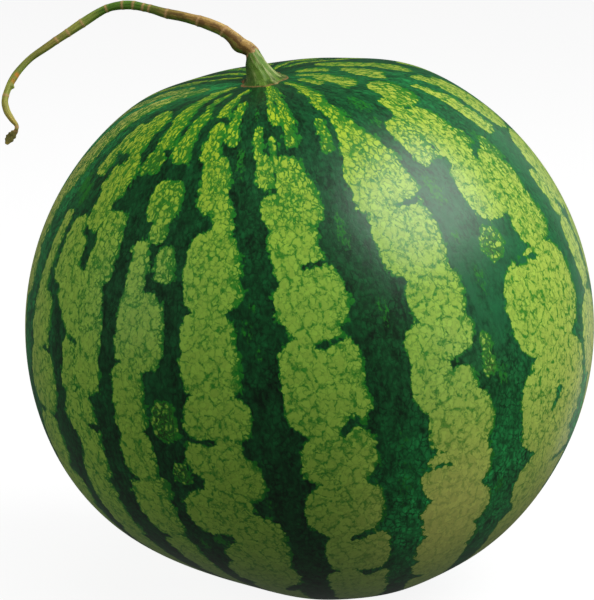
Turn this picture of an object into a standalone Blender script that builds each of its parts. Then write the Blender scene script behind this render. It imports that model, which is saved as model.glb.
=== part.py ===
"""A whole striped watermelon that rests on a small flat spot, with its stalk and a cut length of vine.

Metres, +Z up. The origin is the middle of the flat spot, on the surface that the fruit rests on.
"""

from collections import namedtuple
from math import atan2, cos, exp, pi, radians, sin

import bmesh
import bpy
import numpy as np
from mathutils import Vector

UP = Vector((0, 0, 1))
FRONT = Vector((0, -1, 0))
MILLIMETRE = 0.001

# The fruit's widest radius, and how finely its mesh follows it. Crowding draws the rings to both ends.
FRUIT_RADIUS = 0.125
FRUIT_SEGMENTS = 72
FRUIT_RINGS = 44
RING_CROWDING = 0.22

# How far the flat spot cuts into the round of the fruit.
FLAT_SPOT_DEPTH = 0.0018

# Which way the stalk's end of the fruit points: degrees from straight up, and degrees round from +X.
STALK_LEAN = 13.5
STALK_HEADING = -136.7

# Broad low ribs run from end to end, deepest half way to the middle.
RIB_COUNT = 10
RIB_DEPTH = 0.0004

# Hollows make the globe a fruit. The lean and heading place each one's middle, in degrees as above.
# The depth is in metres and the width in degrees, and the power is 2 for a bell or 4 for a flat floor.
Hollow = namedtuple("Hollow", "lean heading depth width power")
HOLLOWS = (
    Hollow(7.6, -155.0, 0.0081, 25.4, 4),  # the flattened crown
    Hollow(STALK_LEAN, STALK_HEADING, 0.0020, 11.6, 2),  # the dimple that the stalk stands in
    Hollow(180 - STALK_LEAN, STALK_HEADING + 180, 0.0052, 30.0, 2),  # the blossom end
    Hollow(180 - STALK_LEAN, STALK_HEADING + 180, 0.0012, 4.0, 2),  # the scar in its middle
    Hollow(153.1, -137.4, 0.0072, 23.7, 2),  # the side that it lay on as it grew
)

# Stalk: a ribbed cone with a flared foot. Each row is how far up its path, and the radius there, in mm.
STALK_FOOT_RADIUS = 10.2
STALK_PROFILE = ((0.7, 9.7), (1.5, 8.0), (2.7, 6.6), (4.5, 5.4), (7.0, 4.5), (10.0, 3.8), (13.2, 3.0))
STALK_SIDES = 42
STALK_RIBS = 7
STALK_RIB_HEIGHT = 0.08

# Vine: mm from the middle of the fruit (x, y, z), then the half width and half thickness there, in mm.
# One smooth path runs from the stalk's foot through all of these, so its pieces meet square.
STALK_ROUTE = (
    (-22.0, -17.4, 117.7, 4.5, 4.5),
    (-24.9, -17.1, 123.8, 2.7, 2.7),
)
STEM_ROUTE = (
    (-29.5, -15.5, 126.8, 2.8, 2.8),
    (-32.7, -14.4, 129.5, 2.7, 2.7),
    (-39.8, -11.5, 133.6, 2.6, 2.6),
    (-51.1, -7.2, 136.9, 2.3, 2.3),
    (-61.8, -3.2, 138.8, 2.0, 2.0),
    (-70.1, 0.3, 140.7, 1.8, 1.8),
    (-77.6, 2.5, 141.8, 1.9, 1.9),
    (-85.9, 4.4, 140.8, 1.8, 1.8),
    (-92.7, 4.7, 137.6, 1.9, 1.9),
    (-101.4, 4.0, 132.0, 1.9, 1.9),
    (-111.5, 1.1, 125.5, 1.6, 1.6),
    (-121.8, -3.5, 118.4, 1.5, 1.5),
    (-128.1, -9.1, 110.9, 1.5, 1.5),
    (-130.9, -13.8, 103.5, 1.4, 1.4),
    (-130.3, -15.8, 98.6, 1.4, 1.4),
    (-127.9, -17.6, 94.9, 1.2, 1.2),
    (-125.8, -18.7, 92.3, 0.9, 0.9),
    (-125.9, -19.7, 90.3, 0.9, 0.9),
)
WITHERED_ROUTE = (
    (-127.0, -20.2, 88.9, 1.6, 0.7),
    (-128.3, -20.7, 87.4, 1.9, 0.6),
    (-129.2, -21.3, 86.0, 1.6, 0.5),
    (-130.0, -21.9, 84.6, 0.6, 0.4),
)
STEPS_A_STRETCH = 3
STEM_BEVEL_RESOLUTION = 3
WITHERED_SIDES = 14

# Pieces that touch keep this much room between them.
SEAT_GAP = 0.0003

# Colour (linear), roughness and metallic value of each piece.
FINISHES = {
    "fruit": ((0.08, 0.22, 0.05), 0.35, 0.0),
    "stalk": ((0.16, 0.30, 0.08), 0.60, 0.0),
    "vine_stem": ((0.27, 0.24, 0.07), 0.65, 0.0),
    "withered_tip": ((0.10, 0.09, 0.02), 0.75, 0.0),
}


def aim(lean, heading):
    """The unit vector that leans from straight up by lean degrees, towards heading degrees from +X."""
    side = Vector((cos(radians(heading)), sin(radians(heading)), 0))
    return UP * cos(radians(lean)) + side * sin(radians(lean))


STALK_AXIS = aim(STALK_LEAN, STALK_HEADING)


def fruit_radius(direction):
    """How far the fruit's surface is from its middle along a unit vector, ribs left out."""
    radius = FRUIT_RADIUS
    for hollow in HOLLOWS:
        away = direction.angle(aim(hollow.lean, hollow.heading)) / radians(hollow.width)
        radius -= hollow.depth * exp(-(away**hollow.power))
    return radius


MIDDLE = UP * (fruit_radius(-UP) - FLAT_SPOT_DEPTH)


def fruit_point(polar, around):
    """A point of the surface, by its angle from the stalk's axis and its angle round it, in radians."""
    upright = Vector((sin(polar) * cos(around), sin(polar) * sin(around), cos(polar)))
    direction = UP.rotation_difference(STALK_AXIS) @ upright
    groove = RIB_DEPTH * sin(2 * polar) ** 2 * (1 - cos(RIB_COUNT * around)) / 2
    return MIDDLE + direction * (fruit_radius(direction) - groove)


def above_fruit(point):
    """The point drawn in or out to stand one seat gap above the fruit's surface."""
    direction = (point - MIDDLE).normalized()
    return MIDDLE + direction * (fruit_radius(direction) + SEAT_GAP)


def smooth_path(points):
    """Rows along one smooth curve (Catmull-Rom) through the given rows, a few to each stretch."""
    rows = np.array(points)
    rows = np.vstack((2 * rows[0] - rows[1], rows, 2 * rows[-1] - rows[-2]))
    path = []
    for before, start, stop, after in zip(rows, rows[1:], rows[2:], rows[3:]):
        for step in range(STEPS_A_STRETCH):
            t = step / STEPS_A_STRETCH
            bend = 2 * before - 5 * start + 4 * stop - after
            twist = 3 * (start - stop) + after - before
            path.append(start + t / 2 * (stop - before + t * (bend + t * twist)))
    path.append(rows[-2])
    return np.array(path)


def vine_path():
    """The whole vine in metres: x, y, z, half width and half thickness, from its foot to its end."""
    foot = STALK_AXIS * fruit_radius(STALK_AXIS) / MILLIMETRE
    rows = ((*foot, STALK_FOOT_RADIUS, STALK_FOOT_RADIUS), *STALK_ROUTE, *STEM_ROUTE, *WITHERED_ROUTE)
    path = smooth_path(rows) * MILLIMETRE
    path[:, :3] += MIDDLE
    return path


def shifted_start(path):
    """A copy of the path whose first point has moved one seat gap along it."""
    path = path.copy()
    step = path[1, :3] - path[0, :3]
    path[0, :3] += step / np.linalg.norm(step) * SEAT_GAP
    return path


def ring_axes(along):
    """Two unit vectors square to a direction and to each other: one sideways, and one to the front."""
    sideways = along.cross(FRONT).normalized()
    return sideways, sideways.cross(along)


def make_node(name, data):
    """An object with its own Principled material, shaded smooth up to its sharp edges."""
    color, roughness, metallic = FINISHES[name]
    material = bpy.data.materials.new(name)
    material.use_nodes = True
    shader = material.node_tree.nodes["Principled BSDF"]
    shader.inputs["Base Color"].default_value = (*color, 1)
    shader.inputs["Roughness"].default_value = roughness
    shader.inputs["Metallic"].default_value = metallic
    data.materials.append(material)
    node = bpy.data.objects.new(name, data)
    bpy.context.scene.collection.objects.link(node)
    return node


def mesh_node(name, bm):
    """The finished mesh as a node, its faces turned outwards."""
    bmesh.ops.recalc_face_normals(bm, faces=bm.faces)
    mesh = bpy.data.meshes.new(name)
    bm.to_mesh(mesh)
    bm.free()
    mesh.shade_smooth()
    mesh.set_sharp_from_angle(angle=radians(40))
    return make_node(name, mesh)


def loft(rings):
    """A closed mesh with a skin from each ring of points to the next, and a face on the end rings."""
    bm = bmesh.new()
    rings = [[bm.verts.new(point) for point in ring] for ring in rings]
    for lower, upper in zip(rings, rings[1:]):
        for side in range(len(lower)):
            corners = (lower[side - 1], lower[side], upper[side], upper[side - 1])
            bm.faces.new(corners)
    bm.faces.new(rings[0])
    bm.faces.new(rings[-1])
    return bm


def make_fruit():
    """The whole fruit: a sphere shaped by its hollows and ribs, cut flat where it rests."""
    bm = bmesh.new()
    bmesh.ops.create_uvsphere(bm, u_segments=FRUIT_SEGMENTS, v_segments=FRUIT_RINGS, radius=1)
    for vert in bm.verts:
        polar = UP.angle(vert.co)
        around = atan2(vert.co.y, vert.co.x)
        vert.co = fruit_point(polar - RING_CROWDING * sin(2 * polar), around)
    everything = bm.verts[:] + bm.edges[:] + bm.faces[:]
    bmesh.ops.bisect_plane(bm, geom=everything, dist=0.0001, plane_co=(0, 0, 0), plane_no=-UP, clear_outer=True)
    rim = [edge for edge in bm.edges if edge.is_boundary]
    for edge in rim:
        for vert in edge.verts:
            vert.co.z = 0
    bmesh.ops.holes_fill(bm, edges=rim, sides=len(rim))
    return mesh_node("fruit", bm)


def stalk_ring(centre, along, radius, fade):
    """A ring of the ribbed cone; its ribs are lower as fade goes from 1, at the foot, to 0."""
    sideways, forward = ring_axes(along)
    ring = []
    for side in range(STALK_SIDES):
        angle = 2 * pi * side / STALK_SIDES
        reach = radius * (1 + STALK_RIB_HEIGHT * fade * cos(STALK_RIBS * angle))
        ring.append(centre + (sideways * cos(angle) + forward * sin(angle)) * reach)
    return ring


def make_stalk(path, stem_direction):
    """The green cone: a foot that follows the crown just clear of it, then rings up to the joint."""
    points = [Vector(row[:3]) for row in path]
    foot_radius = STALK_FOOT_RADIUS * MILLIMETRE
    rings = []
    for share in (0.5, 1):
        flat_ring = stalk_ring(points[0], STALK_AXIS, foot_radius * share, 1)
        rings.append([above_fruit(point) for point in flat_ring])
    lengths = [(stop - start).length for start, stop in zip(points, points[1:])]
    travelled = np.cumsum([0] + lengths) / sum(lengths)
    height = STALK_PROFILE[-1][0]
    for up, radius in STALK_PROFILE:
        share = up / height
        centre = Vector([np.interp(share, travelled, column) for column in zip(*points)])
        along = STALK_AXIS.lerp(stem_direction, share).normalized()
        rings.append(stalk_ring(centre, along, radius * MILLIMETRE, 1 - 0.6 * share))
    return mesh_node("stalk", loft(rings))


def make_vine_stem(path):
    """The cut length of vine: a round bevelled curve that thins along its way, with filled ends."""
    curve = bpy.data.curves.new("vine_stem", "CURVE")
    curve.dimensions = "3D"
    curve.bevel_depth = MILLIMETRE
    curve.bevel_resolution = STEM_BEVEL_RESOLUTION
    curve.use_fill_caps = True
    spline = curve.splines.new("POLY")
    spline.points.add(len(path) - 1)
    for point, row in zip(spline.points, path):
        point.co = (*row[:3], 1)
        point.radius = row[3] / MILLIMETRE
    return make_node("vine_stem", curve)


def make_withered_tip(path):
    """The dried remnant of a leaf: flat oval rings that widen from the neck and then narrow."""
    rings = []
    points = [Vector(row[:3]) for row in path]
    for index, row in enumerate(path):
        along = points[min(index + 1, len(points) - 1)] - points[max(index - 1, 0)]
        sideways, forward = ring_axes(along.normalized())
        ring = []
        for side in range(WITHERED_SIDES):
            angle = 2 * pi * side / WITHERED_SIDES
            ring.append(points[index] + sideways * (row[3] * cos(angle)) + forward * (row[4] * sin(angle)))
        rings.append(ring)
    return mesh_node("withered_tip", loft(rings))


def main():
    for old in list(bpy.data.objects):
        bpy.data.objects.remove(old, do_unlink=True)
    path = vine_path()
    joint = len(STALK_ROUTE) * STEPS_A_STRETCH
    neck = joint + len(STEM_ROUTE) * STEPS_A_STRETCH
    make_fruit()
    stem_direction = Vector(path[joint + 1, :3] - path[joint, :3]).normalized()
    make_stalk(path[: joint + 1], stem_direction)
    make_vine_stem(shifted_start(path[joint : neck + 1]))
    make_withered_tip(shifted_start(path[neck:]))


main()
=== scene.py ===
"""Striped watermelon: the looks of its rind, stalk, vine and withered tip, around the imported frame.

Metres, +Z up, with the flat spot's middle at the origin. Run it as a script; it needs no installing.
"""

from collections import namedtuple
from math import cos, pi, radians, sin
from random import Random

import bpy
import numpy as np
from mathutils import Color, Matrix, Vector


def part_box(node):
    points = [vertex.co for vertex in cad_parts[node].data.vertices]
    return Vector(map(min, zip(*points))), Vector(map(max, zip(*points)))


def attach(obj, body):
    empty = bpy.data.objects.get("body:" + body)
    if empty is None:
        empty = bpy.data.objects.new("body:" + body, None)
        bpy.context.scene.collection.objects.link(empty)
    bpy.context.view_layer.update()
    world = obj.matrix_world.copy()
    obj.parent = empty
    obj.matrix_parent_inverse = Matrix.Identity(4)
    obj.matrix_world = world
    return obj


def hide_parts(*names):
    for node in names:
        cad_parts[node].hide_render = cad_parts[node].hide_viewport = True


bl_info = {
    "name": "Striped Watermelon",
    "version": (1, 0, 0),
    "blender": (4, 5, 0),
    "location": "3D Viewport > Sidebar > Watermelon",
    "description": "Builds a watermelon's rind, stalk, vine and withered tip around the packed frame",
    "category": "Add Mesh",
}

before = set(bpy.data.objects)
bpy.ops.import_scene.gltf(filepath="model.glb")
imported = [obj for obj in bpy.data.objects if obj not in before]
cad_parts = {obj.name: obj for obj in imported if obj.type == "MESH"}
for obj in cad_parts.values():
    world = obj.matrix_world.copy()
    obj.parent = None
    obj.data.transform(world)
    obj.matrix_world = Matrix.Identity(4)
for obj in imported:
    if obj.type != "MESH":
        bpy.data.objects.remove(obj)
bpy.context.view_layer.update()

UP = Vector((0, 0, 1))
FRONT = Vector((0, -1, 0))
MILLIMETRE = 0.001
CIRCLE = 360.0

# ---------------------------------------------------------------- the fruit's shape

FRUIT_RADIUS = 0.125
FLAT_SPOT_DEPTH = 0.0018
STALK_LEAN = 13.5
STALK_HEADING = -136.7
RIB_COUNT = 10
RIB_DEPTH = 0.0004

# Lean and heading in degrees, depth in metres, width in degrees; power 2 is a bell, 4 a flat floor.
Hollow = namedtuple("Hollow", "lean heading depth width power")
HOLLOWS = (
    Hollow(7.6, -155.0, 0.0081, 25.4, 4),  # the flattened crown
    Hollow(STALK_LEAN, STALK_HEADING, 0.0020, 11.6, 2),  # the dimple that the stalk stands in
    Hollow(180 - STALK_LEAN, STALK_HEADING + 180, 0.0052, 30.0, 2),  # the blossom end
    Hollow(180 - STALK_LEAN, STALK_HEADING + 180, 0.0012, 4.0, 2),  # the scar in its middle
    Hollow(153.1, -137.4, 0.0072, 23.7, 2),  # the side that it lay on as it grew
)
RIND_ROWS = 256
RIND_COLUMNS = 384

# ---------------------------------------------------------------- the rind's pattern

# Light patches are rounded blocks, in degrees from the stalk's pole (top, bottom) and round it (left,
# right). Green is the share of a block that stays mid-green: from 0.9 up, it is a round green island.
# Slant is how far round its bottom lies from its top.
Block = namedtuple("Block", "top bottom left right green slant", defaults=(0.0, 0.0))

LEFT_BANDS = (
    # the band at the far left
    (12, 20, -188, -172, 0.7, 5), (16, 28, -201, -187, 0.35, 3), (27, 48, -200, -189, 0.2),
    (47, 75, -199, -190), (74, 147, -199, -189), (19, 48, -183, -168.5, 0.25), (44, 60, -182, -171, 0.1),
    (60, 70, -181, -168, 0.2), (70, 97, -184, -171), (95, 124, -185, -172), (122, 147, -184, -171),
    # slanting in from the crown
    (6.5, 12, -167, -149, 0.05, 8), (11.5, 18.5, -153, -139, 0.7, 10), (17.5, 25, -144.5, -132.5, 0.25, 7),
    (24.5, 31.5, -138.5, -129, 0.3, 2), (31.5, 37, -138.3, -128.5, 1.1),
    # the two bands left of the bright ones
    (22, 31, -158, -143, 0.2, 4), (27, 40, -161, -153.5, 0.25), (25, 35, -154, -142, 0.15),
    (33.5, 43.5, -151.5, -138), (42, 50, -149.3, -140.6), (49, 67, -163, -157.6), (48.5, 62, -155.8, -148),
    (52, 61, -151, -145), (58, 67, -151, -141), (65, 77, -163, -152), (76, 89, -163.5, -149),
    (89.5, 101, -162, -150), (100.5, 110, -162, -148.5), (109, 122, -161, -150), (121, 147, -163, -150),
    (45.5, 60, -142.3, -132.8, 0.3), (59, 71, -148, -134), (66, 81, -141.5, -133.5), (72, 82, -146.5, -141),
    (81.5, 90, -146, -136), (85, 99.5, -143, -135.5), (96, 106, -145, -136.5), (99.5, 116, -145.5, -136),
    (115, 147, -147, -136),
    # the next band
    (9.5, 20, -134.5, -126.5, 0.9, 11), (20, 34, -128, -119.3, 0.5, 2), (38, 47, -128, -116.6, 0.55),
    (47, 50.5, -124.5, -118.5, 0.4), (52, 58.3, -121.2, -115.6, 0.4), (51, 62.5, -128.8, -122.7, 0.15),
    (60.5, 75, -130, -117.5), (74, 88, -130.5, -122.5), (87, 97.5, -130.5, -122),
    (96.5, 102, -125, -120.5, 0.9), (81, 88.5, -121.4, -115.8, 1.5), (93.5, 97.5, -119, -115.2, 1.6),
    (98, 112, -131, -121.5), (112, 128, -130, -121.5), (127, 147, -131, -121),
)
FRONT_BANDS = (
    # left of the middle
    (6.5, 21.5, -120.5, -111.5, 0.15, 6), (15.5, 30, -107.8, -101.3, 0.5, 1), (24, 34, -115.3, -107, 0.2),
    (33.5, 45, -112.5, -102.3, 0.2), (44, 50, -107, -100.8, 0.25), (49, 64.5, -113.5, -99.5, 0.15),
    (64, 81, -114, -101.5), (80, 88.5, -114.5, -100.5), (88, 96, -115.5, -103), (92, 102, -113, -100.5),
    (99.5, 110, -119, -103.5), (106, 119, -111.5, -99.5), (113, 123, -115, -100), (119, 131, -118, -100),
    (130, 147, -117, -103),
    # the middle
    (5.5, 16.5, -89, -73, 0.6, -4), (15, 26.5, -88.7, -82.3, 0.35, 1), (15, 27, -83.7, -76.3, 0.35),
    (27, 33, -84, -78.2, 0.9, -1), (30, 35, -89.6, -85.8, 0.8), (26.5, 34, -95.3, -91, 0.7, -0.5),
    (34, 41.5, -94.8, -88.6, 0.25), (35, 42, -90, -79.8, 0.3), (41, 49.8, -85.5, -78.2, 0.1),
    (42.2, 50, -94, -83.5, 0.25), (49, 60, -93.5, -81), (58, 70.5, -93.5, -78), (70, 90, -94.5, -78),
    (89, 100, -93.5, -78.5),
    (99.5, 113, -94.5, -78.5), (112, 126, -92.5, -78), (125, 147, -94.5, -78.5),
)
RIGHT_BANDS = (
    # right of the middle
    (6.5, 15, -56, -44, 0.2, -12), (14, 22, -62, -51.5, 0.2, -6), (21, 31.2, -64.8, -55.8, 0.35),
    (31, 36, -66, -55.3, 0.1), (35, 40.5, -67.5, -59.5), (35, 42, -61, -53), (39, 51.5, -70.5, -58.5),
    (38, 51.5, -62, -51.5),
    (50.5, 65, -69.5, -53), (64, 75, -67, -53.5), (73.5, 81.5, -70, -54.5), (80, 90, -70.5, -61.5),
    (84, 90, -68, -56.5), (89, 100, -68.5, -53.5), (99.5, 110, -71, -54.5), (109.5, 121, -71.5, -54),
    (119, 129, -72.5, -55.5), (126, 147, -72.5, -56), (27.5, 36, -72, -67, 1.0, -3),
    # further right
    (8.5, 14.5, -36, -22, 0.35, -10), (11, 20.8, -29.5, -9.5, 0.1, -16), (23.4, 33.6, -33.5, -17, 0.35, -6),
    (29, 36.5, -40, -32.5), (34.5, 46, -48, -39, 0.2), (34.5, 49, -40, -25.5), (48, 61.5, -42.5, -28),
    (49.5, 61, -30, -19.5, 0.3), (60, 70.5, -34, -20.5, 0.3), (70, 90, -46, -20.5), (89, 111, -47, -21.5),
    (110, 124, -47, -23.5), (123, 147, -48.5, -26), (62, 68, -45.5, -39, 1.4), (79.5, 83, -55, -51.2, 1.4),
    (83.5, 87.3, -55, -51.2, 1.5), (43.5, 47.5, -28.3, -23.8, 1.3), (48, 53.5, -23, -17.8, 1.3),
    # the right edge
    (31, 36, -15, -9.5), (36, 49, -15.5, -7.5), (60, 70.5, -14, -9), (71.5, 86, -16, -8),
    (87, 103, -20.8, -7), (102, 147, -17, -8), (31, 36, -5, 3), (35, 52, -6, 9), (53.5, 72, -9, 8),
    (71, 91, -7, 9), (90, 112, -8, 8), (111, 147, -9, 7),
    # slanting in from the crown
    (17, 25, -9, 12, 0.15, -14), (8, 14, 8, 27, 0.15, -10), (24, 31, 7, 25, 0.1, -12),
    (14, 24, 20, 38, 0.15, -12), (7, 13, -12, 2, 0.6, -10),
)

# Dark spurs run in from a patch's edge and thin to their tips: the place of the mouth and of the tip, in
# degrees, and the mouth's width in mm.
Spur = namedtuple("Spur", "polar around tip_polar tip_around width")
SPURS = (
    (57.5, -80, 58, -86, 3.1), (71.5, -77, 73, -86, 2.3), (87.5, -82, 90, -84.5, 3.4),
    (100.7, -77.5, 101, -81, 2.9), (112.8, -77.5, 114.5, -85.8, 2.5), (125.3, -77.5, 127.5, -84, 2.7),
    (127.5, -84, 125.2, -86.5, 2.1), (41.6, -96, 42, -89.8, 2), (87.8, -115.5, 89, -109, 2.3),
    (103.2, -99, 105, -104.6, 6.5), (131, -102, 134.5, -107, 5.2), (112.5, -131.5, 113, -128, 2.9),
    (88, -134.5, 88, -138, 2.6), (99.5, -135, 99.5, -138.2, 2.6), (89, -165, 89.4, -157.5, 2.5),
    (101, -149, 101, -151.8, 2.2), (76, -149, 75.8, -155, 2.1), (35.5, -149.5, 35, -154.5, 5.5),
    (51, -51, 51.3, -60, 2.1), (82.5, -55.5, 82.7, -61.3, 6.5), (101.5, -71.8, 102.2, -64, 2.6),
    (109.8, -53.8, 109.7, -57.2, 2.2), (135, -73.5, 136, -69, 5.2), (70.6, -38, 71.8, -31, 2),
    (99, -34, 102, -36.6, 2.6), (90.8, -47.5, 91.3, -42.5, 2), (110.5, -47.5, 111, -43.5, 2.3),
    (117.3, -21.5, 116, -31.5, 2.6), (123, -48.5, 123.2, -44.5, 2.5),
)

# Mid-green clouds in the dark stripes: place, half height and half width in degrees, and strength.
Cloud = namedtuple("Cloud", "polar around half_height half_width strength", defaults=(0.55,))
CLOUDS = (
    (43.2, -162, 3, 2.6, 0.8), (44.5, -157.5, 3.2, 2.4, 0.8), (112.2, -114, 1.6, 1.8, 0.8),
    (21.5, -94, 3, 1.6), (34.5, -99.5, 4.5, 2.2), (68, -99.5, 2.6, 1.3), (63.8, -98, 1.6, 0.9),
    (72.5, -97.5, 1.8, 0.9), (52.5, -75.6, 5, 1.7), (69.5, -72, 3.5, 1.2), (27, -46, 4, 4.5),
    (33.5, -48.5, 2.4, 2.2), (51, -48.5, 5, 2.6), (61, -50, 2, 1.4), (70, -49, 3.4, 1.5),
    (88.5, -50.5, 2.6, 1.8), (104, -74, 11, 2.2, 0.3), (113, -52, 3, 1.6), (18, -148, 3, 5),
    (114, -118.8, 3, 1.4), (47.5, -21, 3, 2), (28, -55, 2.6, 1.4), (103, -100.5, 1.6, 1),
    (96, -73.5, 7, 1.6, 0.3),
)

# The back is invented in the same manner: the middle of each band, in degrees round the stalk's axis, and
# how far from the pole it starts.
BACK_BANDS = ((27, 32), (47, 8), (68, 7), (89, 9), (110, 7), (131, 8), (153, 7))
BACK_SEED = 7
BANDS_END = 147  # degrees from the pole
LAST_BLOCK_START = 140
CROWN_EDGE = 30  # nearer the pole than this, blocks are shorter and narrower
RARELY = 0.15  # how often a block at the back has an island beside it, and how often a gap below it

# Near the pole the bands at the back bend round it: fully at one angle, and not at all at the other.
CROWN_SWIRL = 17.0
SWIRL_FULL = 10
SWIRL_END = 32

# Blocks reach past each other by so many degrees; their corners are rounded by so much of their half size,
# and they melt together over so many mm.
PATCH_OVERLAP = 0.6
PATCH_ROUNDNESS = 0.84
PATCH_MELT = 0.8
ISLAND_GREEN = 0.9

# The mid-green fringe is the same pattern, moved down by so many degrees and round by so many mm, and it
# reaches this much farther into a spur, in mm.
FRINGE_DROP = 0.25
FRINGE_SHIFT = 1.5
SPUR_FRINGE = 0.35
FAR_OUTSIDE = -30.0  # mm, for a place that no block is near

# The side of the fruit that faces the key light. Painted light grows towards it: the crown's yellow spreads
# that way, and a painted sheen lies on the dark stripes there.
LAMPLIT_SIDE = Vector((0.60, -0.35, 0.72))

# ---------------------------------------------------------------- the vine

STALK_FOOT_RADIUS = 10.2

# Height up the stalk and radius there, in mm.
STALK_PROFILE = (
    (0.0, STALK_FOOT_RADIUS), (0.4, 9.5), (0.9, 8.0), (1.8, 6.9), (3.2, 6.1), (5.0, 5.4), (7.5, 4.7),
    (10.0, 4.0), (13.2, 3.1),
)

# Millimetres from the middle of the fruit (x, y, z), then the radius there, or for the withered tip its half
# width and half thickness.
STALK_ROUTE = ((-22.0, -17.4, 117.7, 4.5), (-24.9, -17.1, 123.8, 2.7))
STEM_ROUTE = (
    (-29.5, -15.5, 126.8, 2.8), (-32.7, -14.4, 129.5, 2.7), (-39.8, -11.5, 133.6, 2.6),
    (-51.1, -7.2, 136.9, 2.3), (-61.8, -3.2, 138.8, 2.0), (-70.1, 0.3, 140.7, 1.8),
    (-77.6, 2.5, 141.8, 1.9), (-85.9, 4.4, 140.8, 1.8), (-92.7, 4.7, 137.6, 1.9),
    (-101.4, 4.0, 132.0, 1.9), (-111.5, 1.1, 125.5, 1.6), (-121.8, -3.5, 118.4, 1.5),
    (-128.1, -9.1, 110.9, 1.5), (-130.9, -13.8, 103.5, 1.4), (-130.3, -15.8, 98.6, 1.4),
    (-127.9, -17.6, 94.9, 1.2), (-125.8, -18.7, 92.3, 0.9), (-125.9, -19.7, 90.3, 0.9),
)
WITHERED_ROUTE = (
    (-127.0, -20.2, 88.9, 1.6, 0.7), (-128.3, -20.7, 87.4, 1.9, 0.6), (-129.2, -21.3, 86.0, 1.6, 0.5),
    (-130.0, -21.9, 84.6, 0.6, 0.4),
)
STEPS_A_STRETCH = 24

# Old leaf joints ring the stem: how far along it from the stalk, in mm.
RING_MARKS = (0.6, 16.0, 28.5, 43.5, 52.0, 55.0, 59.5, 64.5, 72.0, 84.5, 92.0, 98.0, 133.0, 148.5)


def aim(lean, heading):
    """The unit vector that leans from straight up by lean degrees, towards heading degrees from +X."""
    side = Vector((cos(radians(heading)), sin(radians(heading)), 0))
    return UP * cos(radians(lean)) + side * sin(radians(lean))


STALK_AXIS = aim(STALK_LEAN, STALK_HEADING)


def fruit_radius(directions):
    """How far the fruit's surface is from its middle along each unit vector, ribs left out."""
    directions = np.asarray(directions, float)
    radius = np.full(directions.shape[:-1], FRUIT_RADIUS)
    for hollow in HOLLOWS:
        towards = np.array(aim(hollow.lean, hollow.heading))
        away = np.arccos(np.clip(directions @ towards, -1, 1)) / radians(hollow.width)
        radius = radius - hollow.depth * np.exp(-(away**hollow.power))
    return radius


def fruit_middle():
    """The point that the fruit's radius is measured from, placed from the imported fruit's box."""
    low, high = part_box("fruit")
    centre = (low + high) / 2
    return Vector((centre.x, centre.y, low.z + float(fruit_radius(-UP)) - FLAT_SPOT_DEPTH))


MIDDLE = fruit_middle()


# ---------------------------------------------------------------- meshes


def new_piece(name, points, faces, node):
    """A smooth mesh object that stands for a node of the frame and rides on its body."""
    mesh = bpy.data.meshes.new(name)
    mesh.from_pydata([tuple(point) for point in points], [], faces)
    mesh.update()
    mesh.shade_smooth()
    piece = bpy.data.objects.new(name, mesh)
    bpy.context.scene.collection.objects.link(piece)
    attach(piece, "root")
    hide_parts(node)
    return piece


def keep(piece, name, values):
    """Stores one number or one vector for each vertex under a name that the material reads."""
    values = np.asarray(values, np.float32)
    vector = values.ndim == 2
    kind = "FLOAT_VECTOR" if vector else "FLOAT"
    attribute = piece.data.attributes.new(name, kind, "POINT")
    attribute.data.foreach_set("vector" if vector else "value", values.ravel())


def tube_faces(rings, sides):
    """The faces of a closed tube whose points stand ring by ring, with a middle point at each end."""
    first, last = rings * sides, rings * sides + 1
    faces = []
    for ring in range(rings - 1):
        for side in range(sides):
            after = (side + 1) % sides
            here, there = ring * sides, (ring + 1) * sides
            faces.append((here + side, here + after, there + after, there + side))
    top = (rings - 1) * sides
    for side in range(sides):
        after = (side + 1) % sides
        faces.append((first, after, side))
        faces.append((last, top + side, top + after))
    return faces


def new_tube(name, node, slot, points, ends, fields):
    """A closed tube through rings of points, in mm from the fruit's middle, with what each point stores.

    Its two end points store what their neighbours do.
    """
    rings, sides = points.shape[:2]
    everything = np.concatenate((points.reshape(-1, 3), ends)) * MILLIMETRE + np.array(MIDDLE)
    piece = new_piece(name, everything, tube_faces(rings, sides), node)
    for field, values in fields.items():
        values = np.broadcast_to(values, (rings, sides, *values.shape[2:]))
        flat = values.reshape(-1, *values.shape[2:])
        keep(piece, field, np.concatenate((flat, flat[:1], flat[-1:])))
    return piece


def smooth_path(rows, steps):
    """Rows along one smooth curve (Catmull-Rom) through the given rows."""
    rows = np.array(rows, float)
    rows = np.vstack((2 * rows[0] - rows[1], rows, 2 * rows[-1] - rows[-2]))
    path = []
    for before, start, stop, after in zip(rows, rows[1:], rows[2:], rows[3:]):
        for step in range(steps):
            t = step / steps
            bend = 2 * before - 5 * start + 4 * stop - after
            twist = 3 * (start - stop) + after - before
            path.append(start + t / 2 * (stop - before + t * (bend + t * twist)))
    path.append(rows[-2])
    return np.array(path)


def vine_path():
    """The whole vine in mm from the middle of the fruit: x, y, z, half width and half thickness."""
    foot = STALK_AXIS * float(fruit_radius(STALK_AXIS)) / MILLIMETRE
    rounds = [(*row, row[3]) for row in ((*foot, STALK_FOOT_RADIUS), *STALK_ROUTE, *STEM_ROUTE)]
    return smooth_path((*rounds, *WITHERED_ROUTE), STEPS_A_STRETCH)


def evenly(path, spacing):
    """The path's rows again at an even spacing, and how far along it each one is, in mm."""
    steps = np.linalg.norm(np.diff(path[:, :3], axis=0), axis=1)
    travelled = np.concatenate(([0], np.cumsum(steps)))
    along = np.linspace(0, travelled[-1], int(travelled[-1] / spacing) + 1)
    rows = [np.interp(along, travelled, column) for column in path.T]
    return np.stack(rows, axis=1), along


def unit(vectors):
    return vectors / np.linalg.norm(vectors, axis=-1, keepdims=True)


def ring_axes(along):
    """For each direction, two unit vectors square to it: one sideways, and one to the front."""
    sideways = unit(np.cross(along, np.array(FRONT)))
    return sideways, np.cross(sideways, along)


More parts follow.
